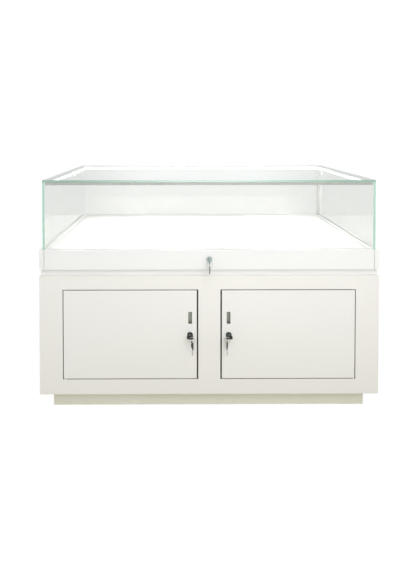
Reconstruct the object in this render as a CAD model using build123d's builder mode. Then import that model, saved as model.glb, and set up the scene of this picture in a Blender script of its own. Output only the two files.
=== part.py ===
"""Glass display showcase: a cabinet with two doors, a pull-out display deck and a glass hood.

Millimetres. The origin is on the floor under the middle of the plinth, +X to the right of someone
facing the showcase, +Y towards its rear, +Z up. The front face of the cabinet is at y = FRONT.
"""

import os
from math import cos, radians, sin

from build123d import *

# Overall
WIDTH = 1300.0
DEPTH = 600.0
BOARD = 18.0
EDGE_ROUND = 1.0

# Levels above the floor
PLINTH_TOP = 70.0
CABINET_TOP = 525.0
BAND_BOTTOM = 550.0
BAND_TOP = 625.0
GLASS_TOP = 892.0

# Plinth
PLINTH_SETBACK = 40.0

# Cabinet front: two openings in one board
OUTER_STILE = 89.0
CENTRE_STILE = 85.0
OPENING_BOTTOM = 127.5
OPENING_TOP = 473.5

# Doors, set into the openings
HINGE_GAP = 3.0
LOCK_GAP = 5.4
END_GAP = 3.0
PIVOT_INSET = 5.0
PIVOT_RADIUS = 2.5
PIVOT_CLEARANCE = 0.05
PIVOT_DEPTH = 12.0
BUSH_RADIUS = 3.5
BUSH_DEPTH = 10.0
BUSH_FLANGE_RADIUS = 4.6
BUSH_FLANGE = 0.8
BUSH_FLOOR = 1.0

# Flush pull in each door
PULL_X = 73.5
PULL_Z = 365.0
PULL_WIDTH = 14.0
PULL_HEIGHT = 45.0
PULL_DEPTH = 12.0
PULL_WALL = 1.2
PULL_RIM = 0.6
PULL_FIT = 0.1
PULL_CORNER = 1.2

# Glass hood
GLASS = 8.0
GLASS_INSET = 10.0
GLASS_GROOVE = 7.0
GLASS_ARRIS = 0.6
GLASS_GAP = 1.5

# Ledge around the deck, and the deck
LEDGE = 18.0
LEDGE_THICK = 20.0
DECK_GAP = 1.0
DECK_REBATE = 8.0
TRAY_BOARD = 16.0
TRAY_BOTTOM = 556.0
TRAY_RIB_X = 205.0
TRAY_ROOM = 2.0
DECK_ARRIS = 0.5

# Ball-bearing slides under the ledge
SLIDE_WIDTH = 12.7
SLIDE_HEIGHT = 45.0
SLIDE_LENGTH = 500.0
SLIDE_FRONT_GAP = 2.0
SLIDE_ROOM = 2.5
SLIDE_SHEET = 1.2
OUTER_LIP = 9.6
OUTER_HOOK = 1.4
MIDDLE_WEB = 2.6
MIDDLE_LIP = 10.8
MIDDLE_HALF_HEIGHT = 17.5
INNER_LIP = 5.0
INNER_HALF_HEIGHT = 12.5

# Light bars under the top glass
BAR_DEPTH = 12.0
BAR_HEIGHT = 13.0
BAR_WALL = 1.4
DIFFUSER = 1.6
STRIP_WIDTH = 8.0
STRIP_THICK = 1.2
REAR_STRIP_LEFT = -573.0
REAR_STRIP_RIGHT = 609.0
DUCT = 13.5
DUCT_WALL = 1.2
CABLE_RADIUS = 2.2
CABLE_HOLE_RADIUS = 4.0
CABLE_BEND = 10.0
DRIVER_LENGTH = 160.0
DRIVER_DEPTH = 30.0
DRIVER_HEIGHT = 24.0
DRIVER_CORNER = 3.0
DRIVER_RIGHT = 596.0
DRIVER_Z = 480.0
DRIVER_EAR = 12.0
DRIVER_EAR_THICK = 2.0
DRIVER_SCREW_RADIUS = 2.2

# Cam locks
LOCK_X = 74.0
DOOR_LOCK_Z = 300.0
DECK_LOCK_Z = 590.0
FLANGE_RADIUS = 11.5
FLANGE = 2.5
FLANGE_ROUND = 1.2
BARREL_RADIUS = 9.3
BARREL_FLAT = 8.0
BARREL_LENGTH = 23.0
BARREL_FIT = 0.1
NUT_FLAT = 12.0
NUT = 4.5
PLUG_RADIUS = 6.0
PLUG_CLEARANCE = 0.05
PLUG_PROUD = 0.5
TAIL = 6.0
TAIL_FIT = 0.05
CAM_GAP = 0.5
CAM = 2.5
CAM_WIDTH = 13.0
CAM_CORNER = 3.0
DOOR_CAM_REACH = 40.0
DECK_CAM_REACH = 48.0
CAM_SCREW_RADIUS = 5.0
CAM_SCREW = 2.0

# Slot in the top board, into which the cam of the deck lock drops
SLOT_LEFT = -33.0
SLOT_RIGHT = 9.0
SLOT_DEPTH = 12.0
SLOT_ROOM = 1.5

# Keys
BLADE_WIDTH = 8.0
BLADE = 2.0
BLADE_LENGTH = 25.0
BLADE_TIP = 2.5
BLADE_NOTCH = 1.6
NOTCH_COUNT = 4
FIRST_NOTCH = 8.0
NOTCH_PITCH = 4.0
KEYWAY_FIT = 0.2
KEYWAY_DEPTH = 25.0
HEAD_WIDTH = 25.0
HEAD_LENGTH = 25.0
HEAD = 3.0
HEAD_CORNER = 7.0
HEAD_ROUND = 0.8
KEY_STAND_OFF = 3.0
RING_HOLE_RADIUS = 3.75
RING_HOLE_INSET = 6.5
RING_RADIUS = 11.5
RING_WIRE = 0.8
RING_PLAY = 0.1
DOOR_RING_ASIDE = 8.13
DOOR_RING_BELOW = 8.13
DOOR_SPARE_TURN = 15.0
DECK_SPARE_TURN = 6.0

# Strike plates on the centre stile
STRIKE = 1.2
STRIKE_HEIGHT = 20.0
STRIKE_REACH = 20.0
STRIKE_JAMB = 12.0

# Places that follow from the sizes above
FRONT = -DEPTH / 2
REAR = DEPTH / 2
SIDE = WIDTH / 2
FRAME_BACK = FRONT + BOARD
PANEL_SIDE = SIDE - BOARD
PANEL_REAR = REAR - BOARD
OPENING_OUTER = SIDE - OUTER_STILE
OPENING_INNER = CENTRE_STILE / 2
DOOR_OUTER = OPENING_OUTER - HINGE_GAP
DOOR_INNER = OPENING_INNER + LOCK_GAP
DOOR_BOTTOM = OPENING_BOTTOM + END_GAP
DOOR_TOP = OPENING_TOP - END_GAP
PIVOT_X = DOOR_OUTER - PIVOT_INSET
PIVOT_Y = FRONT + PIVOT_INSET
HOOD_SIDE = SIDE - GLASS_INSET
HOOD_END = REAR - GLASS_INSET
HOOD_INNER_SIDE = HOOD_SIDE - GLASS
HOOD_INNER_END = HOOD_END - GLASS
HOOD_BOTTOM = BAND_TOP - GLASS_GROOVE
HOOD_SHOULDER = GLASS_TOP - GLASS
LEDGE_SIDE = PANEL_SIDE - LEDGE
LEDGE_REAR = PANEL_REAR - LEDGE
LEDGE_BOTTOM = BAND_TOP - LEDGE_THICK
DECK_SIDE = LEDGE_SIDE - DECK_GAP
DECK_REAR = LEDGE_REAR - DECK_GAP
DECK_TOP = BAND_TOP - DECK_GAP
DECK_BOTTOM = DECK_TOP - BOARD
TRAY_SIDE = PANEL_SIDE - SLIDE_WIDTH
SLIDE_Z = LEDGE_BOTTOM - SLIDE_ROOM - SLIDE_HEIGHT / 2
SLIDE_FRONT = FRAME_BACK + SLIDE_FRONT_GAP
BAR_BOTTOM = HOOD_SHOULDER - BAR_HEIGHT
DUCT_X = HOOD_INNER_SIDE - DUCT / 2
DUCT_Y = HOOD_INNER_END - DUCT / 2
CAM_Y = FRONT + BARREL_LENGTH + CAM_GAP

SIDES = ((-1, "left"), (1, "right"))


def save(piece, label):
    """Labels a finished piece and writes it as one STEP file of that name."""
    piece.part.label = label
    export_step(piece.part, f"parts/{label}.step")


def facing(y):
    """A plane that faces the front at depth y, with local x along +X and local y up."""
    return Plane.XZ.offset(-y)


def add_board(x_range, y_range, z_range):
    """Adds one flat board, given by its limits along each axis, to the part being built."""
    x_low, x_high = x_range
    y_low, y_high = y_range
    z_low, z_high = z_range
    with BuildSketch(Plane.XY.offset(z_low)) as outline:
        with Locations(((x_low + x_high) / 2, (y_low + y_high) / 2)):
            Rectangle(x_high - x_low, y_high - y_low)
    extrude(outline.sketch, amount=z_high - z_low)


os.makedirs("parts", exist_ok=True)

# ---------------------------------------------------------------- plinth

plinth_side = SIDE - PLINTH_SETBACK
plinth_end = REAR - PLINTH_SETBACK

with BuildPart() as plinth_long_boards:
    for end in (-1, 1):
        with BuildSketch(Plane.XY):
            with Locations((0, end * (plinth_end - BOARD / 2))):
                Rectangle(2 * plinth_side, BOARD)
        extrude(amount=PLINTH_TOP)
save(plinth_long_boards, "plinth_long_boards")

with BuildPart() as plinth_cross_boards:
    for x in (BOARD / 2 - plinth_side, 0, plinth_side - BOARD / 2):
        with BuildSketch(Plane.XY):
            with Locations((x, 0)):
                Rectangle(BOARD, 2 * (plinth_end - BOARD))
        extrude(amount=PLINTH_TOP)
save(plinth_cross_boards, "plinth_cross_boards")

# ---------------------------------------------------------------- cabinet

with BuildPart() as bottom_panel:
    add_board((-PANEL_SIDE, PANEL_SIDE), (FRAME_BACK, PANEL_REAR), (PLINTH_TOP, PLINTH_TOP + BOARD))
save(bottom_panel, "bottom_panel")

for side, name in SIDES:
    with BuildPart() as side_panel:
        add_board(
            sorted((side * PANEL_SIDE, side * SIDE)), (FRAME_BACK, REAR), (PLINTH_TOP, CABINET_TOP)
        )
        rear_edges = side_panel.edges().filter_by(Axis.Z).group_by(Axis.Y)[-1]
        fillet(rear_edges.sort_by(lambda edge: side * edge.center().X)[-1], EDGE_ROUND)
    save(side_panel, f"{name}_side_panel")

with BuildPart() as rear_panel:
    add_board((-PANEL_SIDE, PANEL_SIDE), (PANEL_REAR, REAR), (PLINTH_TOP, CABINET_TOP))
save(rear_panel, "rear_panel")

opening_width = OPENING_OUTER - OPENING_INNER
opening_height = OPENING_TOP - OPENING_BOTTOM
opening_x = (OPENING_OUTER + OPENING_INNER) / 2
opening_z = (OPENING_TOP + OPENING_BOTTOM) / 2

with BuildPart() as front_frame:
    with BuildSketch(facing(FRAME_BACK)):
        with Locations((0, (PLINTH_TOP + CABINET_TOP) / 2)):
            Rectangle(WIDTH, CABINET_TOP - PLINTH_TOP)
        with Locations((-opening_x, opening_z), (opening_x, opening_z)):
            Rectangle(opening_width, opening_height, mode=Mode.SUBTRACT)
    extrude(amount=BOARD)
    fillet(front_frame.faces().sort_by(Axis.Y)[0].edges(), EDGE_ROUND)
    # Pockets for the pivot bushes, above and below each door
    for side in (-1, 1):
        with BuildSketch(Plane.XY.offset(OPENING_TOP)):
            with Locations((side * PIVOT_X, PIVOT_Y)):
                Circle(BUSH_RADIUS)
        extrude(amount=BUSH_DEPTH, mode=Mode.SUBTRACT)
        with BuildSketch(Plane.XY.offset(OPENING_BOTTOM)):
            with Locations((side * PIVOT_X, PIVOT_Y)):
                Circle(BUSH_RADIUS)
        extrude(amount=-BUSH_DEPTH, mode=Mode.SUBTRACT)
save(front_frame, "front_frame")

with BuildPart() as centre_partition:
    add_board((-BOARD / 2, BOARD / 2), (FRAME_BACK, PANEL_REAR), (PLINTH_TOP + BOARD, CABINET_TOP))
save(centre_partition, "centre_partition")

with BuildPart() as top_board:
    add_board((-SIDE, SIDE), (FRAME_BACK, REAR), (CABINET_TOP, BAND_BOTTOM))
    with BuildSketch(Plane.XY.offset(BAND_BOTTOM)):
        with Locations(((SLOT_LEFT + SLOT_RIGHT) / 2, CAM_Y + CAM / 2)):
            Rectangle(SLOT_RIGHT - SLOT_LEFT, CAM + 2 * SLOT_ROOM)
    extrude(amount=-SLOT_DEPTH, mode=Mode.SUBTRACT)
    with BuildSketch(Plane.XY.offset(CABINET_TOP)):
        with Locations((DUCT_X, DUCT_Y)):
            Circle(CABLE_HOLE_RADIUS)
    extrude(amount=BAND_BOTTOM - CABINET_TOP, mode=Mode.SUBTRACT)
save(top_board, "top_board")

# ---------------------------------------------------------------- rails around the deck

# Each rail is an upright board with a ledge on its inner side, and a groove for the glass.
for side, name in SIDES:
    with BuildPart() as rail:
        with BuildSketch(facing(REAR)):
            with BuildLine():
                Polyline(
                    (side * PANEL_SIDE, BAND_BOTTOM),
                    (side * SIDE, BAND_BOTTOM),
                    (side * SIDE, BAND_TOP),
                    (side * LEDGE_SIDE, BAND_TOP),
                    (side * LEDGE_SIDE, LEDGE_BOTTOM),
                    (side * PANEL_SIDE, LEDGE_BOTTOM),
                    close=True,
                )
            make_face()
        extrude(amount=DEPTH)
        # The ledge stops behind the front panel of the deck, and at the rear rail.
        for y_low, y_high in ((FRONT, FRAME_BACK + DECK_GAP), (PANEL_REAR, REAR)):
            with BuildSketch(Plane.XY.offset(LEDGE_BOTTOM)):
                with Locations((side * (LEDGE_SIDE + PANEL_SIDE) / 2, (y_low + y_high) / 2)):
                    Rectangle(LEDGE, y_high - y_low)
            extrude(amount=LEDGE_THICK, mode=Mode.SUBTRACT)
        with BuildSketch(Plane.XY.offset(HOOD_BOTTOM)):
            with Locations((side * (HOOD_INNER_SIDE + GLASS / 2), 0)):
                Rectangle(GLASS, 2 * HOOD_END)
        extrude(amount=GLASS_GROOVE, mode=Mode.SUBTRACT)
        if side > 0:
            with BuildSketch(Plane.XY.offset(LEDGE_BOTTOM)):
                with Locations((DUCT_X, DUCT_Y)):
                    Circle(CABLE_HOLE_RADIUS)
            extrude(amount=LEDGE_THICK, mode=Mode.SUBTRACT)
    save(rail, f"{name}_deck_rail")

with BuildPart() as rear_deck_rail:
    with BuildSketch(Plane.YZ.offset(-PANEL_SIDE)):
        with BuildLine():
            Polyline(
                (PANEL_REAR, BAND_BOTTOM),
                (REAR, BAND_BOTTOM),
                (REAR, BAND_TOP),
                (HOOD_END, BAND_TOP),
                (HOOD_END, HOOD_BOTTOM),
                (HOOD_INNER_END, HOOD_BOTTOM),
                (HOOD_INNER_END, BAND_TOP),
                (LEDGE_REAR, BAND_TOP),
                (LEDGE_REAR, LEDGE_BOTTOM),
                (PANEL_REAR, LEDGE_BOTTOM),
                close=True,
            )
        make_face()
    extrude(amount=2 * PANEL_SIDE)
    with BuildSketch(Plane.XY.offset(LEDGE_BOTTOM)):
        for side in (-1, 1):
            with Locations((side * (LEDGE_SIDE + PANEL_SIDE) / 2, (LEDGE_REAR + PANEL_REAR) / 2)):
                Rectangle(LEDGE, LEDGE)
    extrude(amount=LEDGE_THICK, mode=Mode.SUBTRACT)
save(rear_deck_rail, "rear_deck_rail")

# ---------------------------------------------------------------- glass hood

for side, name in SIDES:
    with BuildPart() as glass_side:
        add_board(
            sorted((side * HOOD_INNER_SIDE, side * HOOD_SIDE)),
            (-HOOD_END, HOOD_END),
            (HOOD_BOTTOM, HOOD_SHOULDER),
        )
        chamfer(glass_side.edges().filter_by(Axis.Z), GLASS_ARRIS)
    save(glass_side, f"glass_{name}")

with BuildPart() as glass_rear:
    add_board(
        (-HOOD_INNER_SIDE, HOOD_INNER_SIDE),
        (HOOD_INNER_END, HOOD_END),
        (HOOD_BOTTOM, HOOD_SHOULDER),
    )
save(glass_rear, "glass_rear")

with BuildPart() as glass_top:
    add_board((-HOOD_SIDE, HOOD_SIDE), (-HOOD_END, HOOD_END), (HOOD_SHOULDER, GLASS_TOP))
    chamfer(glass_top.edges(), GLASS_ARRIS)
save(glass_top, "glass_top")

# ---------------------------------------------------------------- light bars


def bar_plane(back):
    """The plane at the left end of a long light bar, with local x towards the rear from its back."""
    return Plane((-HOOD_INNER_SIDE, back, BAR_BOTTOM), x_dir=(0, 1, 0), z_dir=(1, 0, 0))


def add_light_bar(plane, open_side, length):
    """Adds a light bar: a U section on the plane, its back at x = 0, open towards open_side."""
    with BuildLine(mode=Mode.PRIVATE) as section:
        Polyline(
            (0, 0),
            (open_side * BAR_DEPTH, 0),
            (open_side * BAR_DEPTH, BAR_WALL),
            (open_side * BAR_WALL, BAR_WALL),
            (open_side * BAR_WALL, BAR_HEIGHT - BAR_WALL),
            (open_side * BAR_DEPTH, BAR_HEIGHT - BAR_WALL),
            (open_side * BAR_DEPTH, BAR_HEIGHT),
            (0, BAR_HEIGHT),
            close=True,
        )
    with BuildSketch(plane) as outline:
        make_face(section.edges())
    extrude(outline.sketch, amount=length)


front_bar_back = -HOOD_INNER_END + DECK_GAP
rear_bar_back = HOOD_INNER_END
side_bar_front = front_bar_back + BAR_DEPTH
side_bar_rear = rear_bar_back - BAR_DEPTH
side_bar_length = side_bar_rear - side_bar_front

with BuildPart() as led_channel_front:
    add_light_bar(bar_plane(front_bar_back), 1, 2 * HOOD_INNER_SIDE)
save(led_channel_front, "led_channel_front")

with BuildPart() as led_channel_rear:
    add_light_bar(bar_plane(rear_bar_back), -1, 2 * HOOD_INNER_SIDE)
    with BuildSketch(Plane.XY.offset(BAR_BOTTOM)):
        with Locations((DUCT_X, DUCT_Y)):
            Circle(CABLE_HOLE_RADIUS)
    extrude(amount=BAR_WALL, mode=Mode.SUBTRACT)
save(led_channel_rear, "led_channel_rear")

with BuildPart() as led_channels_side:
    for side in (-1, 1):
        bar_origin = (side * HOOD_INNER_SIDE, side_bar_rear, BAR_BOTTOM)
        add_light_bar(Plane(bar_origin, x_dir=(1, 0, 0), z_dir=(0, -1, 0)), -side, side_bar_length)
save(led_channels_side, "led_channels_side")

strip_bottom = BAR_BOTTOM + (BAR_HEIGHT - STRIP_WIDTH) / 2
strip_top = strip_bottom + STRIP_WIDTH
strip_end = HOOD_INNER_SIDE - BAR_DEPTH

with BuildPart() as led_strips:
    strip_y = front_bar_back + BAR_WALL
    add_board((-strip_end, strip_end), (strip_y, strip_y + STRIP_THICK), (strip_bottom, strip_top))
    strip_y = rear_bar_back - BAR_WALL
    add_board(
        (REAR_STRIP_LEFT, REAR_STRIP_RIGHT),
        (strip_y - STRIP_THICK, strip_y),
        (strip_bottom, strip_top),
    )
    for side in (-1, 1):
        strip_x = side * (HOOD_INNER_SIDE - BAR_WALL)
        add_board(
            sorted((strip_x, strip_x - side * STRIP_THICK)),
            (side_bar_front, side_bar_rear),
            (strip_bottom, strip_top),
        )
save(led_strips, "led_strips")

diffuser_low = BAR_BOTTOM + BAR_WALL
diffuser_high = BAR_BOTTOM + BAR_HEIGHT - BAR_WALL

with BuildPart() as led_diffusers:
    for y_low in (side_bar_front - DIFFUSER, side_bar_rear):
        add_board(
            (-strip_end, strip_end), (y_low, y_low + DIFFUSER), (diffuser_low, diffuser_high)
        )
    for side in (-1, 1):
        add_board(
            sorted((side * strip_end, side * (strip_end + DIFFUSER))),
            (side_bar_front, side_bar_rear),
            (diffuser_low, diffuser_high),
        )
save(led_diffusers, "led_diffusers")

with BuildPart() as cable_duct:
    with BuildSketch(Plane.XY.offset(BAND_TOP)):
        with Locations((DUCT_X, DUCT_Y)):
            Rectangle(DUCT, DUCT)
            Rectangle(DUCT - 2 * DUCT_WALL, DUCT - 2 * DUCT_WALL, mode=Mode.SUBTRACT)
    extrude(amount=BAR_BOTTOM - BAND_TOP)
save(cable_duct, "cable_duct")

# The driver hangs on the rear panel, in the right-hand compartment.
driver_x = DRIVER_RIGHT - DRIVER_LENGTH / 2

with BuildPart() as led_driver:
    with BuildSketch(facing(PANEL_REAR)):
        with Locations((driver_x, DRIVER_Z)):
            RectangleRounded(DRIVER_LENGTH, DRIVER_HEIGHT, DRIVER_CORNER)
    extrude(amount=DRIVER_DEPTH)
    fillet(led_driver.faces().sort_by(Axis.Y)[0].edges(), EDGE_ROUND)
    with BuildSketch(facing(PANEL_REAR)):
        with Locations((driver_x, DRIVER_Z)):
            SlotOverall(DRIVER_LENGTH + 2 * DRIVER_EAR, DRIVER_HEIGHT)
        with Locations((driver_x, DRIVER_Z)):
            with GridLocations(DRIVER_LENGTH + DRIVER_EAR, 0, 2, 1):
                Circle(DRIVER_SCREW_RADIUS, mode=Mode.SUBTRACT)
    extrude(amount=DRIVER_EAR_THICK)
save(led_driver, "led_driver")

with BuildPart() as led_cable:
    cable_start = (DRIVER_RIGHT, DUCT_Y, DRIVER_Z)
    cable_corner = (DUCT_X, DUCT_Y, DRIVER_Z)
    with BuildLine() as cable_path:
        Polyline(cable_start, cable_corner, (DUCT_X, DUCT_Y, BAR_BOTTOM + BAR_HEIGHT / 2))
        fillet(cable_path.vertices().sort_by_distance(cable_corner)[0], CABLE_BEND)
    with BuildSketch(Plane(cable_start, x_dir=(0, 1, 0), z_dir=(1, 0, 0))):
        Circle(CABLE_RADIUS)
    sweep(path=cable_path.line)
save(led_cable, "led_cable")

# ---------------------------------------------------------------- slides


def add_channel(side, web, lip, half_height, hook=0.0):
    """Adds a slide member: a C section whose web and lips end at these distances from the rail.

    A hook turns the ends of the lips inwards by its length.
    """
    inner = half_height - SLIDE_SHEET
    step = SLIDE_SHEET if lip > web else -SLIDE_SHEET
    points = [(web, half_height), (lip, half_height)]
    if hook:
        points += [(lip, inner - hook), (lip - step, inner - hook), (lip - step, inner)]
    else:
        points += [(lip, inner)]
    points += [(web + step, inner)]
    mirrored = [(across, -up) for across, up in reversed(points)]
    origin = (side * PANEL_SIDE, SLIDE_FRONT, SLIDE_Z)
    with BuildSketch(Plane(origin, x_dir=(1, 0, 0), z_dir=(0, -1, 0))) as section:
        with BuildLine():
            Polyline(*[(-side * across, up) for across, up in points + mirrored], close=True)
        make_face()
    extrude(section.sketch, amount=-SLIDE_LENGTH)


with BuildPart() as slide_outer_members:
    for side in (-1, 1):
        add_channel(side, 0, OUTER_LIP, SLIDE_HEIGHT / 2, OUTER_HOOK)
save(slide_outer_members, "slide_outer_members")

with BuildPart() as slide_middle_members:
    for side in (-1, 1):
        add_channel(side, MIDDLE_WEB, MIDDLE_LIP, MIDDLE_HALF_HEIGHT)
save(slide_middle_members, "slide_middle_members")

with BuildPart() as slide_inner_members:
    for side in (-1, 1):
        add_channel(side, SLIDE_WIDTH, INNER_LIP, INNER_HALF_HEIGHT)
save(slide_inner_members, "slide_inner_members")

# ---------------------------------------------------------------- locks and keys


def barrel_section(fit):
    """Draws the double-D section of a lock barrel, larger all round by fit."""
    Circle(BARREL_RADIUS + fit)
    Rectangle(4 * BARREL_RADIUS, 2 * (BARREL_FLAT + fit), mode=Mode.INTERSECT)


def cut_barrel_hole(x, z):
    """Cuts the hole for a lock barrel through the front board being built."""
    with BuildSketch(facing(FRONT)) as outline:
        with Locations((x, z)):
            barrel_section(BARREL_FIT)
    extrude(outline.sketch, amount=-BOARD, mode=Mode.SUBTRACT)


def make_key(plane):
    """A key on a plane: its head above the plane's x axis, its blade below, its ring hole on top."""
    with BuildPart() as key:
        with BuildSketch(plane):
            with Locations((0, HEAD_LENGTH / 2)):
                RectangleRounded(HEAD_WIDTH, HEAD_LENGTH, HEAD_CORNER)
            with Locations((0, HEAD_LENGTH - RING_HOLE_INSET)):
                Circle(RING_HOLE_RADIUS, mode=Mode.SUBTRACT)
        extrude(amount=HEAD / 2, both=True)
        fillet(key.faces().filter_by(plane).edges(), HEAD_ROUND)
        with BuildSketch(plane):
            with Locations((0, -BLADE_LENGTH / 2)):
                Rectangle(BLADE_WIDTH, BLADE_LENGTH)
            for step in range(NOTCH_COUNT):
                with Locations((BLADE_WIDTH / 2, -FIRST_NOTCH - step * NOTCH_PITCH)):
                    RegularPolygon(BLADE_NOTCH, 4, mode=Mode.SUBTRACT)
            with Locations((-BLADE_WIDTH / 2, -BLADE_LENGTH), (BLADE_WIDTH / 2, -BLADE_LENGTH)):
                RegularPolygon(BLADE_TIP, 4, mode=Mode.SUBTRACT)
        extrude(amount=BLADE / 2, both=True)
    return key


def make_lock(name, x, z, key_angle, cam_angle, cam_reach, ring_aside, ring_below, spare_turn):
    """Writes one cam lock, its key, the ring on the key and the spare key that hangs from the ring.

    key_angle is the turn of the key's flat from level and cam_angle the way the cam points, both in
    degrees anticlockwise as seen from the front. ring_aside and ring_below place the middle of the
    ring, from the axis of the lock. spare_turn is the turn of the spare key's flat from edge-on, in
    degrees anticlockwise as seen from above.
    """
    face_y = FRONT - FLANGE
    key_wide = (cos(radians(key_angle)), 0, sin(radians(key_angle)))
    cam_way = (cos(radians(cam_angle)), 0, sin(radians(cam_angle)))

    with BuildPart() as lock_body:
        with BuildSketch(facing(FRONT)):
            with Locations((x, z)):
                Circle(FLANGE_RADIUS)
        extrude(amount=FLANGE)
        fillet(lock_body.edges().sort_by(Axis.Y)[0], FLANGE_ROUND)
        with BuildSketch(facing(FRONT)):
            with Locations((x, z)):
                barrel_section(0)
        extrude(amount=-BARREL_LENGTH)
        with BuildSketch(facing(face_y)):
            with Locations((x, z)):
                Circle(PLUG_RADIUS + PLUG_CLEARANCE)
        extrude(amount=-(FLANGE + BARREL_LENGTH), mode=Mode.SUBTRACT)
    save(lock_body, f"{name}_lock_body")

    with BuildPart() as lock_nut:
        with BuildSketch(facing(FRAME_BACK)):
            with Locations((x, z)):
                RegularPolygon(NUT_FLAT, 6, major_radius=False, rotation=30)
                Circle(BARREL_RADIUS + BARREL_FIT, mode=Mode.SUBTRACT)
        extrude(amount=-NUT)
    save(lock_nut, f"{name}_lock_nut")

    with BuildPart() as lock_plug:
        with BuildSketch(facing(face_y - PLUG_PROUD)):
            with Locations((x, z)):
                Circle(PLUG_RADIUS)
        extrude(amount=-(PLUG_PROUD + FLANGE + BARREL_LENGTH))
        with BuildSketch(facing(CAM_Y - CAM_GAP)):
            with Locations((x, z)):
                Rectangle(TAIL, TAIL)
        extrude(amount=-(CAM_GAP + CAM))
        keyway_plane = Plane((x, face_y - PLUG_PROUD, z), x_dir=key_wide, z_dir=(0, -1, 0))
        with BuildSketch(keyway_plane):
            Rectangle(BLADE_WIDTH + 2 * KEYWAY_FIT, BLADE + 2 * KEYWAY_FIT)
        extrude(amount=-KEYWAY_DEPTH, mode=Mode.SUBTRACT)
    save(lock_plug, f"{name}_lock_plug")

    # The cam and the screw that holds it on the tail of the plug
    with BuildPart() as lock_cam:
        with BuildSketch(Plane((x, CAM_Y, z), x_dir=cam_way, z_dir=(0, -1, 0))):
            with Locations(((cam_reach - CAM_WIDTH / 2) / 2, 0)):
                RectangleRounded(cam_reach + CAM_WIDTH / 2, CAM_WIDTH, CAM_CORNER)
            with Locations(Location((0, 0), -cam_angle)):
                Rectangle(TAIL + 2 * TAIL_FIT, TAIL + 2 * TAIL_FIT, mode=Mode.SUBTRACT)
        extrude(amount=-CAM)
        with BuildSketch(facing(CAM_Y + CAM)):
            with Locations((x, z)):
                Circle(CAM_SCREW_RADIUS)
        extrude(amount=-CAM_SCREW)
    save(lock_cam, f"{name}_lock_cam")

    shoulder_y = face_y - KEY_STAND_OFF
    key_normal = (key_wide[2], 0, -key_wide[0])
    key = make_key(Plane((x, shoulder_y, z), x_dir=key_wide, z_dir=key_normal))
    save(key, f"{name}_key")

    ring_y = shoulder_y - HEAD_LENGTH + RING_HOLE_INSET
    ring_x = x + ring_aside
    ring_z = z - ring_below
    with BuildPart() as key_ring:
        with BuildSketch(Plane.XY.offset(ring_z)):
            with Locations((ring_x + RING_RADIUS, ring_y)):
                Circle(RING_WIRE)
        revolve(axis=Axis((ring_x, ring_y, ring_z), (0, 1, 0)))
    save(key_ring, f"{name}_key_ring")

    # The spare key hangs with its ring hole on the lowest point of the ring.
    spare_wide = (-sin(radians(spare_turn)), cos(radians(spare_turn)), 0)
    spare_normal = (spare_wide[1], -spare_wide[0], 0)
    hole_z = ring_z - RING_RADIUS + RING_WIRE + RING_PLAY - RING_HOLE_RADIUS
    spare_origin = (ring_x, ring_y, hole_z - HEAD_LENGTH + RING_HOLE_INSET)
    spare_key = make_key(Plane(spare_origin, x_dir=spare_wide, z_dir=spare_normal))
    save(spare_key, f"{name}_spare_key")


for side, name in SIDES:
    make_lock(
        name,
        side * LOCK_X,
        DOOR_LOCK_Z,
        key_angle=0,
        cam_angle=90,
        cam_reach=DOOR_CAM_REACH,
        ring_aside=-side * DOOR_RING_ASIDE,
        ring_below=DOOR_RING_BELOW,
        spare_turn=-side * DOOR_SPARE_TURN,
    )
make_lock(
    "deck",
    0,
    DECK_LOCK_Z,
    key_angle=90,
    cam_angle=180,
    cam_reach=DECK_CAM_REACH,
    ring_aside=0,
    ring_below=RING_RADIUS,
    spare_turn=-DECK_SPARE_TURN,
)

# ---------------------------------------------------------------- deck

front_glass_side = HOOD_INNER_SIDE - GLASS_GAP

with BuildPart() as deck_front_panel:
    with BuildSketch(facing(FRAME_BACK)):
        with Locations((0, (BAND_BOTTOM + BAND_TOP) / 2)):
            Rectangle(2 * front_glass_side, BAND_TOP - BAND_BOTTOM)
    extrude(amount=BOARD)
    fillet(deck_front_panel.faces().sort_by(Axis.Y)[0].edges(), EDGE_ROUND)
    with BuildSketch(facing(FRAME_BACK)):
        with Locations((0, BAND_TOP - DECK_REBATE / 2)):
            Rectangle(2 * front_glass_side, DECK_REBATE)
    extrude(amount=GLASS, mode=Mode.SUBTRACT)
    cut_barrel_hole(0, DECK_LOCK_Z)
save(deck_front_panel, "deck_front_panel")

with BuildPart() as deck_panel:
    add_board((-DECK_SIDE, DECK_SIDE), (FRAME_BACK, DECK_REAR), (DECK_BOTTOM, DECK_TOP))
    chamfer(deck_panel.faces().sort_by(Axis.Z)[-1].edges(), DECK_ARRIS)
save(deck_panel, "deck_panel")

# The front glass stands in a rebate behind the front panel of the deck, and moves with the deck.
with BuildPart() as glass_front:
    add_board(
        (-front_glass_side, front_glass_side),
        (-HOOD_END, -HOOD_INNER_END),
        (BAND_TOP - DECK_REBATE, HOOD_SHOULDER - GLASS_GAP),
    )
    chamfer(glass_front.edges().filter_by(Axis.Z), GLASS_ARRIS)
save(glass_front, "glass_front")

tray_inner = TRAY_SIDE - TRAY_BOARD
tray_rear = DECK_REAR - TRAY_ROOM

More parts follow.
